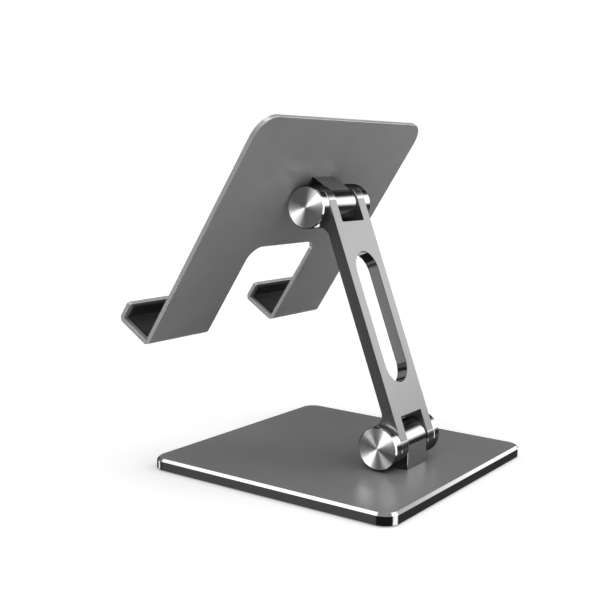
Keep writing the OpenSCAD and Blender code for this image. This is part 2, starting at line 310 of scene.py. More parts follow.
def drop_slivers(piece):
    """Merges corners closer than two thousandths of a millimetre and closes what that leaves open."""
    shape = bmesh.new()
    shape.from_mesh(piece.data)
    bmesh.ops.remove_doubles(shape, verts=shape.verts, dist=sliver)
    bmesh.ops.dissolve_degenerate(shape, edges=shape.edges, dist=sliver)
    gaps = [edge for edge in shape.edges if edge.is_boundary]
    bmesh.ops.holes_fill(shape, edges=gaps, sides=8)
    bmesh.ops.recalc_face_normals(shape, faces=shape.faces)
    shape.to_mesh(piece.data)
    shape.free()


def cut(piece, *tools):
    """Cuts the tools out of the piece and removes them."""
    for tool in tools:
        knife = piece.modifiers.new("cut", "BOOLEAN")
        knife.operation = "DIFFERENCE"
        knife.solver = "EXACT"
        knife.object = tool
    bpy.context.view_layer.update()
    apply_modifiers(piece)
    drop_slivers(piece)
    for tool in tools:
        bpy.data.objects.remove(tool)


def soften(piece, width):
    """Rounds the piece's sharp edges by this width."""
    bevel = piece.modifiers.new("soften", "BEVEL")
    bevel.width = width
    bevel.segments = 2
    bevel.limit_method = "ANGLE"
    bevel.angle_limit = math.radians(40)
    bevel.miter_outer = "MITER_ARC"
    bevel.use_clamp_overlap = False
    bpy.context.view_layer.update()
    apply_modifiers(piece)
    drop_slivers(piece)


def even_shading(piece):
    """Keeps big flat faces flat in the light, while the small rounds between them stay smooth."""
    piece.data.shade_smooth()
    piece.data.set_sharp_from_angle(angle=sharp_angle)
    weighted = piece.modifiers.new("even_shading", "WEIGHTED_NORMAL")
    weighted.keep_sharp = True
    weighted.weight = 100


def turned_solid(name, profile, place, materials, finishes=None, steps=96):
    """Sweeps a profile of (x, radius) points round the X axis. It closes on itself."""
    points = []
    rows = []
    for x, radius in profile:
        if radius < same_point:
            rows.append([len(points)] * steps)
            points.append((x, 0, 0))
            continue
        rows.append([len(points) + i for i in range(steps)])
        for i in range(steps):
            a = 2 * math.pi * i / steps
            points.append((x, radius * math.cos(a), radius * math.sin(a)))
    faces = []
    slots = []
    for k in range(len(rows)):
        low = rows[k]
        high = rows[(k + 1) % len(rows)]
        for i in range(steps):
            j = (i + 1) % steps
            loop = list(dict.fromkeys((low[i], low[j], high[j], high[i])))
            if len(loop) > 2:
                faces.append(loop)
                slots.append(finishes[k] if finishes else 0)
    return finish_mesh(name, points, faces, slots, place, materials)


def rod(name, x0, x1, radius, place, steps=96):
    """A plain round bar along X, used as a cutting tool."""
    return turned_solid(name, [(x0, 0), (x0, radius), (x1, radius), (x1, 0)], place, [], steps=steps)


def block(name, low, high, place):
    """A box from corner to corner, used as a cutting tool."""
    outline = [Vector((low[0], low[1])), Vector((high[0], low[1])),
               Vector((high[0], high[1])), Vector((low[0], high[1]))]
    return layered_solid(name, [outline], [(0, low[2]), (0, high[2])], place, [])


def hand_over(piece, body, slot, *nodes):
    """Lets the piece move with its body and stand for its CAD nodes. Its slot, the name of its finish, is not
    used.
    """
    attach(piece, body)
    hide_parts(*nodes)
    print(piece.name, "has", len(piece.data.polygons), "faces and rides on", body)


print("tools ready")

# %% [markdown]
# ## Metal finishes
# All the metal is described by one recipe. A metal has no colour under its surface, so its base colour
# is the colour of its reflections, and what tells two finishes apart is how rough they are and at what
# scale. Fine noise in the bump stands for blasting or cutting marks, and slow noise shifts the
# roughness a little, as handling does. All of it is procedural and is measured in millimetres.


# %% The metal recipe
def wire(tree, source, target):
    """Joins two sockets of a node tree."""
    tree.links.new(source, target)


def noise(tree, coordinates, size, detail=3.0, stretch=(1, 1, 1)):
    """Noise whose grains are about this size in metres, longer along an axis with a small stretch."""
    scale = tree.nodes.new("ShaderNodeVectorMath")
    scale.operation = "MULTIPLY"
    scale.inputs[1].default_value = stretch
    wire(tree, coordinates, scale.inputs[0])
    grains = tree.nodes.new("ShaderNodeTexNoise")
    grains.inputs["Scale"].default_value = 1 / size
    grains.inputs["Detail"].default_value = detail
    wire(tree, scale.outputs[0], grains.inputs["Vector"])
    return grains.outputs["Fac"]


def remap(tree, value, low, high, start=0.3, end=0.7):
    """Stretches a value between start and end over the range from low to high."""
    ramp = tree.nodes.new("ShaderNodeMapRange")
    ramp.inputs["From Min"].default_value = start
    ramp.inputs["From Max"].default_value = end
    ramp.inputs["To Min"].default_value = low
    ramp.inputs["To Max"].default_value = high
    wire(tree, value, ramp.inputs["Value"])
    return ramp.outputs["Result"]


def tint(tree, value, dark, light):
    """A colour that moves between two others with the value."""
    ramp = tree.nodes.new("ShaderNodeValToRGB")
    ramp.color_ramp.elements[0].position = 0.3
    ramp.color_ramp.elements[0].color = (*dark, 1)
    ramp.color_ramp.elements[1].position = 0.7
    ramp.color_ramp.elements[1].color = (*light, 1)
    wire(tree, value, ramp.inputs["Fac"])
    return ramp.outputs["Color"]


def new_material(name):
    """An empty material with its shader and the piece's own coordinates."""
    material = bpy.data.materials.new(name)
    material.use_nodes = True
    tree = material.node_tree
    shader = tree.nodes["Principled BSDF"]
    place = tree.nodes.new("ShaderNodeTexCoord").outputs["Object"]
    return material, tree, shader, place


def add_grain(tree, shader, grains, depth):
    """Raises the grains as a bump of this depth, in millimetres."""
    bump = tree.nodes.new("ShaderNodeBump")
    bump.inputs["Strength"].default_value = 1.0
    bump.inputs["Distance"].default_value = depth * MM
    wire(tree, grains, bump.inputs["Height"])
    wire(tree, bump.outputs["Normal"], shader.inputs["Normal"])


def metal(name, colour, roughness, grain=0.25, depth=0.004, swing=0.12, stretch=(1, 1, 1), shift=0.04,
          lean=0.0, metallic=1.0):
    """A metal finish. Grain and bump depth are in millimetres, swing moves the roughness."""
    material, tree, shader, place = new_material(name)
    shader.inputs["Metallic"].default_value = metallic
    if lean:
        turn = tree.nodes.new("ShaderNodeVectorRotate")
        turn.rotation_type = "X_AXIS"
        turn.inputs["Angle"].default_value = -lean
        wire(tree, place, turn.inputs["Vector"])
        place = turn.outputs[0]
    slow = noise(tree, place, 18 * MM, 4)
    fine = noise(tree, place, grain * MM, 2, stretch)
    darker = [c * (1 - shift) for c in colour]
    lighter = [min(1, c * (1 + shift)) for c in colour]
    wire(tree, tint(tree, slow, darker, lighter), shader.inputs["Base Color"])
    rough = remap(tree, slow, roughness * (1 - swing), roughness * (1 + swing))
    wire(tree, rough, shader.inputs["Roughness"])
    add_grain(tree, shader, fine, depth)
    return material


def grey(value, warm=0.0):
    """A near-neutral colour. A positive warmth leans to red and a negative one to blue."""
    return (value * (1 + warm), value, value * (1 - warm))


print("the metal recipe is ready")

# %% [markdown]
# ## The stand's own metals
# The base and the panel are blasted aluminium under dark grey anodising. Their cut edges are milled
# bright afterwards, and the base has a polished chamfer. The arm is a lighter anodised aluminium whose
# ears and slot are polished. The hinge blocks' barrels are polished like a tap, so they show the room as
# hard bands, and their flat faces are satin. One grey for all would make the stand look like a casting.

# %% Materials of the big parts
dark_blasted = metal("dark_blasted", grey(0.25, -0.01), 0.32, grain=0.28, depth=0.0035, metallic=0.22)
dark_blasted.node_tree.nodes["Principled BSDF"].inputs["Specular IOR Level"].default_value = 0.12
dark_side = metal("dark_side", grey(0.28, -0.01), 0.14, grain=0.5, depth=0.0008, stretch=(1, 1, 4))
bright_chamfer = metal("bright_chamfer", grey(0.92), 0.1, grain=0.5, depth=0.0006, swing=0.2)
cut_edge = metal("cut_edge", grey(0.84), 0.26, grain=0.4, depth=0.0004, stretch=(1, 3, 1), lean=panel_lean,
                 metallic=0.68)
light_satin = metal("light_satin", grey(0.39), 0.3, grain=0.3, depth=0.0025, stretch=(1, 1, 0.12),
                    lean=arm_lean)
ear_polish = metal("ear_polish", grey(0.8), 0.16, grain=0.4, depth=0.0008, stretch=(0.15, 1, 1))
block_plate = metal("block_plate", grey(0.74, -0.01), 0.07, grain=1.2, depth=0.0006, swing=0.3)
block_flat = metal("block_flat", grey(0.70, -0.01), 0.3, grain=0.5, depth=0.0005, stretch=(0.4, 1, 1),
                   metallic=0.85)
print("big parts:", len(bpy.data.materials), "materials so far")

# %% [markdown]
# ## Turned faces
# The caps' faces are turned on a lathe, and the tool leaves a fine groove that winds round the middle.
# Grooves spread a reflection across themselves and not along, so the face shows bright and dark wedges
# that meet in the centre. The grooves are modelled on the caps further on. Under them the shader is
# anisotropic, and its tangent runs round the hinge line, which spreads the light outwards from it.


# %% Turned cap material
def turned_metal(name, colour, roughness, anisotropy):
    """A metal whose grooves run round the X axis of the piece."""
    material, tree, shader, place = new_material(name)
    shader.inputs["Metallic"].default_value = 1.0
    shader.inputs["Anisotropic"].default_value = anisotropy
    shader.inputs["Anisotropic Rotation"].default_value = 0.25
    shader.inputs["Roughness"].default_value = roughness
    tangent = tree.nodes.new("ShaderNodeTangent")
    tangent.direction_type = "RADIAL"
    tangent.axis = "X"
    wire(tree, tangent.outputs["Tangent"], shader.inputs["Tangent"])
    slow = noise(tree, place, 4 * MM, 3)
    darker = [c * 0.97 for c in colour]
    wire(tree, tint(tree, slow, darker, colour), shader.inputs["Base Color"])
    return material


cap_face = turned_metal("cap_face", grey(0.82), 0.4, 0.95)
cap_side = metal("cap_side", grey(0.85), 0.07, grain=0.4, depth=0.0005, stretch=(6, 1, 1), swing=0.2)
cap_rim = metal("cap_rim", grey(0.92), 0.14, grain=0.4, depth=0.0005, stretch=(6, 1, 1), swing=0.2)
print("cap face roughness", cap_face.node_tree.nodes["Principled BSDF"].inputs["Roughness"].default_value)

# %% [markdown]
# ## Small hardware and rubber
# What is inside the hinges hardly shows, but every piece gets its true finish: bronze for the bushes,
# zinc plate for screws and washers, dark oiled steel for the springs and a waxy plastic for the
# friction washers. The pads are black silicone, which is matt, a little soft at its edges and covered
# with a very fine moulded grain.

# %% Materials of the hardware
bronze = metal("bronze", (0.62, 0.40, 0.20), 0.3, grain=0.3, depth=0.002, stretch=(5, 1, 1), shift=0.1)
zinc = metal("zinc", (0.62, 0.63, 0.66), 0.26, grain=0.4, depth=0.002, shift=0.08)
spring_steel = metal("blued_spring_steel", (0.20, 0.21, 0.25), 0.32, grain=0.5, depth=0.003, shift=0.15)


def soft_plastic(name, dark, light, roughness, grain, depth):
    """A matt plastic or rubber with a moulded grain, in millimetres."""
    material, tree, shader, place = new_material(name)
    slow = noise(tree, place, 9 * MM, 3)
    fine = noise(tree, place, grain * MM, 2)
    wire(tree, tint(tree, slow, dark, light), shader.inputs["Base Color"])
    wire(tree, remap(tree, slow, roughness * 0.92, roughness * 1.08), shader.inputs["Roughness"])
    add_grain(tree, shader, fine, depth)
    return material


silicone = soft_plastic("moulded_silicone", (0.016, 0.016, 0.017), (0.024, 0.024, 0.025), 0.62, 0.35, 0.02)
friction = soft_plastic("waxy_plastic", (0.66, 0.65, 0.60), (0.74, 0.73, 0.68), 0.45, 0.6, 0.01)
print("materials:", sorted(m.name for m in bpy.data.materials))

# %% [markdown]
# ## Base plate
# The base is one heavy plate, milled from bar and drilled from below. Its outline is a rectangle with
# round corners. The layers go out over the underside, up the side,
# along the bright chamfer and on to the top. One stack of layers makes all of it, so the chamfer keeps
# the same width round every corner. The pad's pocket and the screws' holes are cut afterwards. Glossy
# rays don't see the plate, because its top would throw light patches on the lower hinge's underside.

# %% Base plate sizes
base_low, base_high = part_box("base_plate")
pad_low, pad_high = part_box("base_pad")
base_width = base_high.x - base_low.x
base_depth = base_high.y - base_low.y
pad_width = pad_high.x - pad_low.x
base_corner = 8 * MM
base_chamfer = 1.3 * MM
base_edge = 0.3 * MM
pad_depth = pad_high.y - pad_low.y
pad_border = (base_width - pad_width) / 2
pocket_corner = base_corner - pad_border / 2
pocket_play = 0.05 * MM
print("base in mm:", round(base_width / MM, 1), "by", round(base_depth / MM, 1))

# %% Base plate
screw_spacing = 11 * MM
base_screw_radius = 2 * MM
panel_screw_radius = 1.5 * MM
screw_clearance = 0.1 * MM
head_ratio = 1.9


def countersink(name, radius, depth, place):
    """A cutting tool for a countersunk hole: seat at the place's origin, shank up its Z."""
    head = head_ratio * radius
    shank = radius + screw_clearance
    profile = [(-overrun, 0), (-overrun, head), (0, head), (head - shank, shank),
               (depth + overrun, shank), (depth + overrun, 0)]
    upright = place @ Matrix.Rotation(math.radians(-90), 4, "Y")
    return turned_solid(name, profile, upright, [])


outline = rounded_rectangle(base_width, base_depth, base_corner)
side_layers = round_edge(base_edge, base_low.z, -1)[::-1]
top_start = len(side_layers)
side_layers += [(0, base_high.z - base_chamfer), (base_chamfer, base_high.z)]


def base_finish(layer):
    """The side is glossy, the last step is the chamfer and the end faces are blasted."""
    if layer < 0:
        return 0
    return 2 if layer == top_start else 1


base_plate = layered_solid("base_plate_milled", [outline], side_layers, base_frame,
                           [dark_blasted, dark_side, bright_chamfer], base_finish)
pocket = layered_solid(
    "pocket",
    [rounded_rectangle(pad_width + 2 * pocket_play, pad_depth + 2 * pocket_play,
                       pocket_corner + pocket_play)],
    [(0, base_low.z - overrun), (0, pad_high.z)], base_frame, [])
places = [Vector((side * screw_spacing / 2, lower_axis.y, pad_high.z)) for side in (-1, 1)]
holes = [countersink("hole", base_screw_radius, base_high.z - pad_high.z, Matrix.Translation(p))
         for p in places]
cut(base_plate, pocket, *holes)
even_shading(base_plate)
base_plate.visible_glossy = False
hand_over(base_plate, "base", "dark_anodised", "base_plate")

# %% [markdown]
# ## Base pad
# A sheet of silicone fills the pocket and stands half a millimetre proud, so the plate never touches
# the desk. Its lower edge is rounded by the mould. A shallow groove follows the edge, as many such
# pads have, so that the stand doesn't cling to a smooth desk when it is lifted.

# %% Base pad
pad_edge = 0.35 * MM
groove_at = 3 * MM
groove_wide = 1.2 * MM
groove_deep = 0.35 * MM


def groove_layers(at):
    """Layers that dip up into the pad's underside between at and at plus the groove's width."""
    return [(at + groove_wide, pad_low.z), (at + 0.75 * groove_wide, pad_low.z + groove_deep),
            (at + 0.25 * groove_wide, pad_low.z + groove_deep), (at, pad_low.z)]


pad_layers = groove_layers(groove_at) + round_edge(pad_edge, pad_low.z, -1)[::-1]
pad_layers += [(0, pad_high.z)]
pad_outline = rounded_rectangle(pad_width, pad_depth, pocket_corner, 24)
base_pad = layered_solid("base_pad_moulded", [pad_outline], pad_layers, base_frame, [silicone])
room_left = pocket_corner - groove_at - groove_wide
print("the groove ends", round(room_left / MM, 2), "mm short of the corner's centre")
hand_over(base_pad, "base", "silicone", "base_pad")

# %% [markdown]
# ## Hinge blocks
# Each hinge turns on a block with a round barrel and a square foot. The foot is screwed to the base,
# or to the back of the panel. The block is an outline too: a half circle on two straight sides, with
# the bush's bore as a hole. Its layers run along the hinge line, and its edges are only just broken,
# since polishing plated metal leaves them crisp.

# %% Hinge block sizes
block_low, block_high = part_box("lower_hinge_block")
block_width = block_high.x - block_low.x
barrel = block_high.z - lower_axis.z
rise = lower_axis.z - block_low.z
bush_low, bush_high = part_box("lower_bush")
bore = (bush_high.z - bush_low.z) / 2
tap_wall = 1.5 * MM
tap_depth = rise - bore - tap_wall
block_edge = 0.25 * MM
squarely = 0.999  # how square to the block's Y a flat face's normal is, at the least
print("block in mm:", round(block_width / MM, 2), "barrel", round(barrel / MM, 2))


# %% Hinge blocks
def hinge_block(name, screw_radius, place):
    """A barrel round the place's X axis, on a square foot that reaches down to the plate."""
    dome = arc((0, 0), barrel, 0, 180, 48)
    outline = dome + [Vector((-barrel, -rise)), Vector((barrel, -rise))]
    hole = circle((0, 0), bore, 64)[::-1]
    layers = plate_layers(-block_width / 2, block_width / 2, block_edge)
    made = layered_solid(name, [outline, hole], layers, place, [block_plate, block_flat], to_3d=across)
    taps = []
    for side in (-1, 1):
        foot = Matrix.Translation((side * screw_spacing / 2, 0, -rise))
        upright = place @ foot @ Matrix.Rotation(math.radians(-90), 4, "Y")
        taps.append(rod("tap", -overrun, tap_depth, screw_radius + screw_clearance, upright, 32))
    cut(made, *taps)
    to_block = place.to_3x3().inverted()
    for face in made.data.polygons:
        if abs((to_block @ face.normal).y) > squarely:
            face.material_index = 1
    even_shading(made)
    return made


lower_block = hinge_block("lower_block_polished", base_screw_radius, lower_frame)
hand_over(lower_block, "base", "polished_block", "lower_hinge_block")
upper_block = hinge_block("upper_block_polished", panel_screw_radius, block_frame)
hand_over(upper_block, "panel", "polished_block", "upper_hinge_block")

# %% [markdown]
# ## Arm
# The arm is sawn and milled from one bar. Seen from the side it is a straight bar with a round ear at
# each end, and a hollow fillet where the bar's front runs out on to the ear. That side view is swept
# across the whole width, and then the machinist's cuts follow: a fork gap for each hinge block, a
# counterbore for each cap and a long slot for the cable. Rounding all the edges comes last.

# %% Arm sizes
ear = 11 * MM
bar_thickness = 6.2 * MM
fillet = 6 * MM
bolt_hole = 3.1 * MM
counterbore = 9.03 * MM
counterbore_depth = 3 * MM
fork_gap_end = 11.6 * MM
slot_width = 20.4 * MM
slot_margin = 28.1 * MM
friction_width = 0.4 * MM
fork_width = block_width + 2 * friction_width
arm_low, arm_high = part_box("arm")
arm_width = arm_high.x - arm_low.x
arm_edge = 0.3 * MM
print("arm width in mm:", round(arm_width / MM, 2), "fork width", round(fork_width / MM, 2))

# %% Arm side view
bar_front = ear - bar_thickness
fillet_y = bar_front - fillet
fillet_z = math.sqrt((ear + fillet) ** 2 - fillet_y ** 2)
meet = math.degrees(math.atan2(fillet_z, fillet_y))
side_view = arc((0, 0), ear, meet, 360, 72)
side_view += arc((0, arm_length), ear, 0, 360 - meet, 72)
side_view += arc((fillet_y, arm_length - fillet_z), fillet, 180 - meet, 0, 16)
side_view += arc((fillet_y, fillet_z), fillet, 0, meet - 180, 16)
bolt_holes = [circle((0, z), bolt_hole, 48)[::-1] for z in (0, arm_length)]
arm = layered_solid("arm_milled", [side_view] + bolt_holes, [(0, -arm_width / 2), (0, arm_width / 2)],
                    arm_frame, [light_satin, ear_polish], to_3d=across)
print("side view has", len(side_view), "points")


# %% Arm cuts
def fork_tools(end, outward):
    """Tools for one end of the arm: the fork gap and the two counterbores."""
    reach = 2 * ear
    inner = end - outward * fork_gap_end
    outer = end + outward * reach
    low = (-fork_width / 2, -reach, min(inner, outer))
    high = (fork_width / 2, reach, max(inner, outer))
    tools = [block("gap", low, high, arm_frame)]
    for side in (-1, 1):
        seat = side * (arm_width / 2 - counterbore_depth)
        beyond = side * arm_width
        x0, x1 = min(seat, beyond), max(seat, beyond)
        centre = arm_frame @ Matrix.Translation((0, 0, end))
        tools.append(rod("counterbore", x0, x1, counterbore, centre))
    return tools


slot_low = slot_margin + slot_width / 2
slot_high = arm_length - slot_low
slot_outline = arc((0, slot_high), slot_width / 2, 0, 180, 40)
slot_outline += arc((0, slot_low), slot_width / 2, 180, 360, 40)
slot_tool = layered_solid("slot", [slot_outline], [(0, -2 * ear), (0, 2 * ear)], arm_frame, [],
                          to_3d=lambda p, h: (p.x, h, p.y))
cut(arm, slot_tool, *fork_tools(0, -1), *fork_tools(arm_length, 1))
print("arm after its cuts:", len(arm.data.polygons), "faces")

# %% Arm finish
soften(arm, arm_edge)
ear_tolerance = 0.15 * MM
slot_tolerance = 0.05 * MM
slot_start = slot_margin - 1 * MM
polished = 0
to_arm = arm_frame.inverted()
for face in arm.data.polygons:
    centre = to_arm @ face.center
    toward = Vector((centre.y, centre.z if centre.z < arm_length / 2 else centre.z - arm_length))
    on_ear = abs(toward.length - ear) < ear_tolerance and abs(face.normal.x) < 0.5
    off_end = min(centre.z, arm_length - centre.z)
    sideways = abs((to_arm.to_3x3() @ face.normal).y) < 0.5
    in_slot = sideways and off_end > slot_start and abs(centre.x) < slot_width / 2 + slot_tolerance
    past_tangent = toward.y < 0 if centre.z < arm_length / 2 else toward.y > 0
    if in_slot or on_ear and (past_tangent or toward.x < 0):
        face.material_index = 1
        polished += 1
even_shading(arm)
hand_over(arm, "arm", "light_anodised", "arm")
print("polished faces on the ears and in the slot:", polished)

# %% [markdown]
# ## Turned caps
# Four caps close the ears. Each is a cup turned from bar, with a spigot that seats in the counterbore
# and a hollow that clears the bolt's head or the nut. Its face carries the lathe's fine groove, which
# is real geometry here: the profile rises and falls by a few thousandths of a millimetre as the radius
# grows. A narrow chamfer round the face is cut last and is the brightest line on the stand.

# %% Cap sizes
cap_low, cap_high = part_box("lower_right_cap")
cap_radius = (cap_high.z - cap_low.z) / 2
cap_seat = arm_width / 2
cap_end = cap_high.x
cap_chamfer = 0.6 * MM
cap_face_wall = 1.4 * MM
cap_hollow = 8 * MM
spigot = 9 * MM
spigot_end = cap_low.x
seam = 0.25 * MM
groove_pitch = 0.44 * MM
groove_height = 0.006 * MM
groove_steps = 4
print("cap in mm:", round(cap_radius / MM, 2), "radius,", round((cap_end - cap_seat) / MM, 2), "thick")


# %% Caps
def cap_profile():
    """The cap's section as (x, radius), with a finish for each step: 0 face, 1 side, 2 rim."""
    face_radius = cap_radius - cap_chamfer
    steps = groove_steps * round(face_radius / groove_pitch)
    points = []
    finishes = []
    for i in range(steps + 1):
        radius = face_radius * i / steps
        dip = groove_height * (1 - math.cos(2 * math.pi * i / groove_steps)) / 2
        points.append((cap_end - dip, radius))
        finishes.append(0)
    finishes[-1] = 2
    points += [(cap_end - cap_chamfer, cap_radius), (cap_seat + seam, cap_radius),
               (cap_seat, cap_radius - seam), (cap_seat, spigot), (spigot_end + seam, spigot),
               (spigot_end, spigot - seam), (spigot_end, cap_hollow),
               (cap_end - cap_face_wall, cap_hollow), (cap_end - cap_face_wall, 0)]
    finishes += [1] * (len(points) - len(finishes) - 1) + [0]
    return points, finishes


def cap(name, centre, side):
    """A cap on the right ear for side 1, or on the left ear for side -1."""
    points, finishes = cap_profile()
    place = Matrix.Translation(centre) @ Matrix.Rotation(0 if side > 0 else math.pi, 4, "Z")
    return turned_solid(name, points, place, [cap_face, cap_side, cap_rim], finishes, steps=144)


caps = {"lower": [], "upper": []}
for hinge, centre in (("lower", lower_axis), ("upper", upper_axis)):
    for side, hand in ((1, "right"), (-1, "left")):
        made = cap(f"{hinge}_{hand}_cap_turned", centre, side)
        hand_over(made, "arm", "turned_cap", f"{hinge}_{hand}_cap")
        caps[hinge].append(made)

# %% [markdown]
# ## Panel
# The panel is a real sheet-metal part. It is cut flat, its edges are milled bright, and the ends of
# its two legs are then folded twice to make the hooks. The script does the same. The flat pattern is
# drawn in (x, s), where s runs down the sheet and on round the bends, and `fold` carries each point to
# its place. A Boolean union of flat slabs and bent strips would leave seams where they meet. Glossy
# rays don't see the panel, so the upper block and caps mirror the studio and not the dark sheet.

# %% Panel sizes
sheet_thickness = 2.3 * MM
panel_low, panel_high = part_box("panel")
panel_width = panel_high.x - panel_low.x
panel_height = 134 * MM
panel_top = 43.6 * MM
panel_foot = panel_top - panel_height
panel_back = -rise
panel_corner = 12 * MM
panel_edge = 0.3 * MM
leg_corner = 1.5 * MM
window_width = 58.6 * MM
window_drop = 76.8 * MM
window_top = panel_top - window_drop
window_corner = 8.5 * MM
hook_gap = 18 * MM
lip_height = 9 * MM
bend_outer = 3 * MM
bend_middle = bend_outer - sheet_thickness / 2
bend_start = panel_foot + bend_outer
bend_run = bend_middle * math.pi / 2
lip_front = panel_back - hook_gap - 2 * sheet_thickness
shelf_run = panel_back - lip_front - 2 * bend_outer
lip_run = sheet_thickness + lip_height - bend_outer
pattern_foot = bend_start - 2 * bend_run - shelf_run - lip_run
print("flat pattern in mm:", round((panel_top - pattern_foot) / MM, 1), "long")


# %% Folding
def fold(x, s, depth):
    """Carries a point of the flat pattern, at a depth from the sheet's back, to the folded panel."""
    run = bend_start - s
    if run <= 0:
        return (x, panel_back - depth, s)
    radius = bend_outer - depth
    if run <= bend_run:
        a = run / bend_middle
        return (x, panel_back - bend_outer + radius * math.cos(a), bend_start - radius * math.sin(a))
    run -= bend_run
    if run <= shelf_run:
        return (x, panel_back - bend_outer - run, panel_foot + depth)
    run -= shelf_run
    if run <= bend_run:
        a = run / bend_middle
        return (x, lip_front + bend_outer - radius * math.sin(a), bend_start - radius * math.cos(a))
    return (x, lip_front + depth, bend_start + run - bend_run)


bend_steps = 12
bend_rows = [bend_start - bend_run * i / bend_steps for i in range(bend_steps + 1)]
second_bend = bend_start - bend_run - shelf_run
bend_rows += [second_bend - bend_run * i / bend_steps for i in range(bend_steps + 1)]
print("rows across the bends:", len(bend_rows))


# %% Flat pattern
def sheet_outline(inset, foot, rows, end_corner, steps=20):
    """The panel's flat outline, stepped in all round, with a point on each leg edge at every row."""
    half = panel_width / 2 - inset
    top = panel_top - inset
    corner = panel_corner - inset / 2
    window = window_width / 2 + inset
    window_high = window_top + inset
    down = [Vector((0, s)) for s in rows]

    def column(x, downwards):
        run = down if downwards else down[::-1]
        return [Vector((x, p.y)) for p in run]

    def leg_end(x0, x1):
        inner = min(x0, x1) + end_corner
        outer = max(x0, x1) - end_corner
        low = foot + end_corner
        return arc((inner, low), end_corner, 180, 270, 6) + arc((outer, low), end_corner, 270, 360, 6)

    points = arc((half - corner, top - corner), corner, 0, 90, steps)
    points += arc((corner - half, top - corner), corner, 90, 180, steps)
    points += column(-half, True)
    points += leg_end(-half, -window)
    points += column(-window, False)
    points += arc((window_corner - window, window_high - window_corner), window_corner, 180, 90, steps)
    points += arc((window - window_corner, window_high - window_corner), window_corner, 90, 0, steps)
    points += column(window, True)
    points += leg_end(window, half)
    points += column(half, False)
    return points


def sheet_solid(name, outline, layers, rows, place, materials, edge_slot, bend):
    """A sheet through the layers (inset, depth), whose faces are split along the rows and then bent."""
    count = len(outline)
    points = []
    faces = []
    slots = []
    flat = [step_in(outline, inset) for inset, _ in layers]
    for loop, (_, depth) in zip(flat, layers):
        points += [bend(p.x, p.y, depth) for p in loop]
    for _, quad in wall_faces(0, count, layers):
        faces.append(quad)
        slots.append(edge_slot)
    for k in (0, len(layers) - 1):
        loop = flat[k]
        splits = []
        for s in rows:
            on_row = sorted((p.x, i) for i, p in enumerate(loop) if abs(p.y - s) < 1e-8)
            splits += [(on_row[j][1], on_row[j + 1][1]) for j in range(0, len(on_row) - 1, 2)]
        border = [(i, (i + 1) % count) for i in range(count)]
        verts, _, triangles, sources, _, _ = delaunay_2d_cdt(loop, border + splits, [], 1, 1e-9)
        for triangle in triangles:
            faces.append([k * count + sources[i][0] for i in triangle])
            slots.append(0)
    return finish_mesh(name, points, faces, slots, place, materials)


outline = sheet_outline(0, pattern_foot, bend_rows, leg_corner)
panel = sheet_solid("panel_folded", outline, plate_layers(0, sheet_thickness, panel_edge), bend_rows,
                    panel_frame, [dark_blasted, cut_edge], 1, fold)
print("panel pattern has", len(outline), "points")

# %% Panel screw holes
front = panel_back - sheet_thickness
holes = []
for side in (-1, 1):
    at = Matrix.Translation((side * screw_spacing / 2, front, 0))
    inward = panel_frame @ at @ Matrix.Rotation(math.radians(-90), 4, "X")
    holes.append(countersink("hole", panel_screw_radius, sheet_thickness, inward))
cut(panel, *holes)
even_shading(panel)
panel.visible_glossy = False
hand_over(panel, "panel", "dark_anodised", "panel")

# %% [markdown]
# ## Silicone pads
# The tablet never touches metal. A thin pad covers the front of the panel, and an angle of the same
# silicone lines each hook's shelf and lip. The panel's pad takes the panel's own outline, stepped in
# by five millimetres, so the two always agree. Rubber is moulded with soft edges, so the rounds are
# large next to the one millimetre of thickness.

# %% Panel pad
pad_thickness = 1 * MM
panel_pad_border = 5 * MM
panel_pad_corner = 3 * MM
panel_pad_edge = 0.45 * MM
pad_foot = panel_foot + 20 * MM


def onto_front(x, s, depth):
    """Lays a flat pattern on the panel's front, with the depth measured outwards from it."""
    return (x, front - depth, s)


pad_layers = [(0, 0), *round_edge(panel_pad_edge, pad_thickness, 1, 4)]
outline = sheet_outline(panel_pad_border, pad_foot, [], panel_pad_corner)
panel_pad = sheet_solid("panel_pad_moulded", outline, pad_layers, [], panel_frame, [silicone], 0, onto_front)
hand_over(panel_pad, "panel", "silicone", "panel_pad")

# %% Hook pads
leg_width = (panel_width - window_width) / 2
leg_centre = (panel_width + window_width) / 4
hook_pad_border = 3 * MM
hook_pad_edge = 0.2 * MM
shelf = panel_foot + sheet_thickness
lip_inside = lip_front + sheet_thickness
pad_lip_top = shelf + lip_height - 1 * MM
pad_corner = bend_outer - sheet_thickness + 0.2 * MM
tip = pad_thickness / 2 - 0.01 * MM
pad_back = front - pad_corner
section = [Vector((pad_back, shelf))]
section += arc((pad_back - tip, shelf + pad_thickness - tip), tip, 0, 90, 6)
section += arc((lip_inside + 2 * pad_thickness, shelf + 2 * pad_thickness), pad_thickness, 270, 180, 8)
section += arc((lip_inside + tip, pad_lip_top - tip), tip, 0, 180, 12)
section += arc((lip_inside + pad_corner, shelf + pad_corner), pad_corner, 180, 270, 8)
half_pad = leg_width / 2 - hook_pad_border
both = []
for side in (-1, 1):
    at = side * leg_centre
    layers = plate_layers(at - half_pad, at + half_pad, hook_pad_edge)
    both.append(layered_solid("hook_pad", [section], layers, panel_frame, [silicone], to_3d=across))
with bpy.context.temp_override(active_object=both[0], selected_editable_objects=both):
    bpy.ops.object.join()
hook_pads = both[0]
hook_pads.name = "hook_pads_moulded"
hand_over(hook_pads, "panel", "silicone", "hook_pads")

# %% [markdown]
# ## Inside the hinges
# Bushes, bolts, washers, springs, nuts and screws keep the shapes of the design, which are already
# exact. Only their finish is set here. Two modifiers help each one: a weld joins the corners that the
# file keeps apart, and a bevel takes off the sharp edges, as tumbling does to bought hardware. The
# plate and the sheet are hidden from glossy rays, so the screws that sit in them are hidden as well.

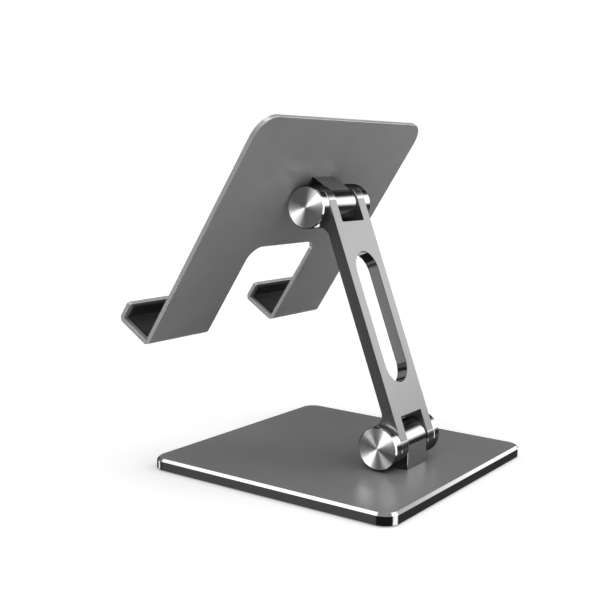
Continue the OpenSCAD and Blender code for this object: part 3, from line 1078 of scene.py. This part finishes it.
# %% Hardware finishes
inside = {
    "bush": bronze,
    "bolt": zinc,
    "head_washer": zinc,
    "friction_washers": friction,
    "disc_springs": spring_steel,
    "lock_nut": zinc,
}
bought_edge = 0.08 * MM
hardware = {f"{hinge}_{part}": finish for hinge in ("lower", "upper") for part, finish in inside.items()}
hardware["base_screws"] = zinc
hardware["panel_screws"] = zinc
for name, finish in hardware.items():
    node = frame["nodes"][name]
    node.data.materials.clear()
    node.data.materials.append(finish)
    weld = node.modifiers.new("weld", "WELD")
    weld.merge_threshold = sliver
    bevel = node.modifiers.new("edges", "BEVEL")
    bevel.width = bought_edge
    bevel.segments = 2
    bevel.limit_method = "ANGLE"
    bevel.angle_limit = sharp_angle
for name in ("base_screws", "panel_screws"):
    frame["nodes"][name].visible_glossy = False
print("hardware nodes finished:", len(hardware))

# %% [markdown]
# ## Floor
# The stand is shown on a plain pale floor that runs out of sight. The floor is part of the stage and
# not of the stand. Metal is a mirror, however soft, and a pale floor in it would fill every side face
# with light. The floor is therefore hidden from glossy rays, and what the metal sees below the horizon
# is set with the lights.

# %% Floor
floor_mesh = bpy.data.meshes.new("floor")
reach = 12.0
floor_mesh.from_pydata([(-reach, -reach, 0), (reach, -reach, 0), (reach, reach, 0), (-reach, reach, 0)], [],
                       [(0, 1, 2, 3)])
floor = bpy.data.objects.new("floor", floor_mesh)
scene.collection.objects.link(floor)
floor_material, tree, shader, place = new_material("pale_floor")
speck = noise(tree, place, 60 * MM, 3)
wire(tree, tint(tree, speck, (0.895, 0.895, 0.9), (0.905, 0.905, 0.91)), shader.inputs["Base Color"])
shader.inputs["Roughness"].default_value = 0.9
shader.inputs["Specular IOR Level"].default_value = 0.1
shader.inputs["Emission Color"].default_value = (1, 1, 1, 1)
shader.inputs["Emission Strength"].default_value = 0.26
floor_mesh.materials.append(floor_material)
floor.visible_glossy = False
floor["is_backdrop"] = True
print("floor is", 2 * reach, "m across")

# %% [markdown]
# ## Studio
# What makes metal look like metal is what it reflects. A product studio is dark, with a few large soft
# boxes, and each one is placed for a face that should light up. Real lights could be set round the
# stand, but here the soft boxes are painted on the sky in terms of azimuth and height, which keeps
# them far away and even. The camera itself sees plain white behind the stand.

# %% Soft boxes
world = bpy.data.worlds.new("studio")
world.use_nodes = True
scene.world = world
sky = world.node_tree
sky.nodes.clear()
direction = sky.nodes.new("ShaderNodeTexCoord").outputs["Generated"]


def math_node(operation, *values):
    """A maths node on sockets or numbers, in the studio's tree."""
    node = sky.nodes.new("ShaderNodeMath")
    node.operation = operation
    for i, value in enumerate(values):
        if isinstance(value, (int, float)):
            node.inputs[i].default_value = value
        else:
            sky.links.new(value, node.inputs[i])
    return node.outputs[0]


split = sky.nodes.new("ShaderNodeSeparateXYZ")
sky.links.new(direction, split.inputs[0])
height = math_node("DEGREES", math_node("ARCSINE", split.outputs["Z"]))


def edge_of_light(distance, half, blur):
    """One inside half, falling smoothly to nothing over the blur, in degrees."""
    ramp = sky.nodes.new("ShaderNodeMapRange")
    ramp.interpolation_type = "SMOOTHSTEP"
    ramp.inputs["From Min"].default_value = half + blur / 2
    ramp.inputs["From Max"].default_value = half - blur / 2
    sky.links.new(math_node("ABSOLUTE", distance), ramp.inputs["Value"])
    return ramp.outputs["Result"]


def soft_box(azimuth, elevation, width, tall, strength, blur=6):
    """A rectangle of light on the sky, in degrees. Azimuth 0 is +X and 90 is +Y."""
    spin = sky.nodes.new("ShaderNodeVectorRotate")
    spin.rotation_type = "Z_AXIS"
    spin.inputs["Angle"].default_value = math.radians(-azimuth)
    sky.links.new(direction, spin.inputs["Vector"])
    parts = sky.nodes.new("ShaderNodeSeparateXYZ")
    sky.links.new(spin.outputs[0], parts.inputs[0])
    aside = math_node("DEGREES", math_node("ARCTAN2", parts.outputs["Y"], parts.outputs["X"]))
    across_box = edge_of_light(aside, width / 2, blur)
    up_box = edge_of_light(math_node("SUBTRACT", height, elevation), tall / 2, blur)
    return math_node("MULTIPLY", math_node("MULTIPLY", across_box, up_box), strength)


print("soft boxes can be hung")

# %% Hang the lights
# azimuth, elevation, width and height in degrees, then strength, then blur in degrees
boxes = [
    soft_box(152, 14.5, 52, 21, 1.40, 12),
    soft_box(130, 44, 46, 26, 1.05, 8),
    soft_box(213, 10, 64, 68, 0.06, 14),
    soft_box(-64, 54, 44, 22, 1.05, 10),
    soft_box(-35, -12, 24, 26, 0.19, 8),
    soft_box(110, -20, 38, 9, 3.50, 5),
    soft_box(-76, -19, 18, 24, 2.60, 6),
    soft_box(177, -15, 10, 16, 2.40, 6),
    soft_box(152, -20, 24, 12, 0.06, 8),
    soft_box(197, -29, 20, 12, 1.00, 6),
    soft_box(165, -56, 90, 26, 0.70, 12),
    soft_box(0, -58, 170, 30, 0.15, 14),
    soft_box(0, 86, 360, 18, 0.90, 10),
    soft_box(90, 18, 60, 32, 0.40, 12),
    soft_box(32, 15, 36, 20, 0.60, 12),
]
low_fill = sky.nodes.new("ShaderNodeMapRange")
low_fill.inputs["From Min"].default_value = 0
low_fill.inputs["From Max"].default_value = 60
low_fill.inputs["To Min"].default_value = 0.03
low_fill.inputs["To Max"].default_value = 0.25
sky.links.new(height, low_fill.inputs["Value"])
light = low_fill.outputs["Result"]
for box in boxes:
    light = math_node("ADD", light, box)
dark_flag = soft_box(172, 31, 26, 10, 0.85, 5)
light = math_node("MULTIPLY", light, math_node("SUBTRACT", 1.0, dark_flag))
rays = sky.nodes.new("ShaderNodeLightPath")
seen = sky.nodes.new("ShaderNodeMix")
seen.data_type = "FLOAT"
sky.links.new(rays.outputs["Is Camera Ray"], seen.inputs["Factor"])
sky.links.new(light, seen.inputs[2])
seen.inputs[3].default_value = 1.0
shine = sky.nodes.new("ShaderNodeBackground")
shine.inputs["Color"].default_value = (1, 1, 1, 1)
sky.links.new(seen.outputs[0], shine.inputs["Strength"])
out = sky.nodes.new("ShaderNodeOutputWorld")
sky.links.new(shine.outputs[0], out.inputs["Surface"])
print("soft boxes:", len(boxes))

# %% [markdown]
# ## Lights for the caps
# A turned face needs its own lights, because it gathers them from a long line across the sky, and they
# would wash out the satin arm beside it. Light linking solves this: a light with a list of receivers
# shines on those pieces and on nothing else. At each hinge one lamp makes the bright pair of wedges,
# a weaker one makes the second pair, and a tall one draws the bright line along the face's chamfer.

# %% Cap lights
groups = {}
for hinge in ("lower", "upper"):
    groups[hinge] = bpy.data.collections.new(f"{hinge}_caps")
    for piece in caps[hinge]:
        groups[hinge].objects.link(piece)
centres = {"lower": lower_axis, "upper": upper_axis}
lamp_distance = 1.5


def cap_lamp(hinge, name, azimuth, elevation, width, tall, strength):
    """An area light that only one hinge's caps receive. Its angles are in degrees, as in soft_box."""
    turn = math.radians(azimuth)
    rise_by = math.radians(elevation)
    away = Vector((math.cos(turn) * math.cos(rise_by), math.sin(turn) * math.cos(rise_by), math.sin(rise_by)))
    lamp = bpy.data.lights.new(f"{hinge}_{name}", "AREA")
    lamp.shape = "RECTANGLE"
    lamp.size = 2 * lamp_distance * math.tan(math.radians(width) * math.cos(rise_by) / 2)
    lamp.size_y = 2 * lamp_distance * math.tan(math.radians(tall) / 2)
    lamp.energy = strength * math.pi * lamp.size * lamp.size_y
    hung = bpy.data.objects.new(lamp.name, lamp)
    hung.location = centres[hinge] + away * lamp_distance
    hung.rotation_euler = away.to_track_quat("Z", "Y").to_euler()
    hung.visible_camera = False
    hung.light_linking.receiver_collection = groups[hinge]
    hung.light_linking.blocker_collection = groups[hinge]
    scene.collection.objects.link(hung)
    print(lamp.name, "is", round(lamp.size, 2), "by", round(lamp.size_y, 2), "m")


cap_lamp("lower", "wedge_lamp", -6, 13, 22, 20, 13.0)
cap_lamp("upper", "wedge_lamp", -8, 18, 28, 20, 12.0)
for hinge in ("lower", "upper"):
    cap_lamp(hinge, "second_wedge_lamp", -62, 11, 28, 16, 5.5)
    cap_lamp(hinge, "rim_lamp", 52, 8, 34, 64, 1.3)

# %% [markdown]
# ## Light on the floor
# The sky alone would leave the floor grey. A very wide sun overhead lifts it to white from edge to
# edge and draws a soft shadow round the base. It is hidden from glossy rays, so the metals keep only
# the soft boxes.

# %% Overhead light
overhead = bpy.data.lights.new("overhead", "SUN")
overhead.angle = math.radians(100)
overhead.energy = 1.7
hanging = bpy.data.objects.new("overhead", overhead)
hanging.rotation_euler = (math.radians(-14), math.radians(10), 0)
hanging.location = (0, 0, 1)
hanging.visible_glossy = False
scene.collection.objects.link(hanging)
print("overhead light is", round(math.degrees(overhead.angle)), "degrees wide")

# %% [markdown]
# Both boxes, the design's and the dressed stand's, are printed at the end.

# %% Print the sizes
visual_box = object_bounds()
sizes = {
    "cad_box": [list(cad_box[0]), list(cad_box[1])],
    "visual_box": [list(visual_box[0]), list(visual_box[1])],
}
for name, corners in sizes.items():
    print(name, [[round(v, 5) for v in corner] for corner in corners])
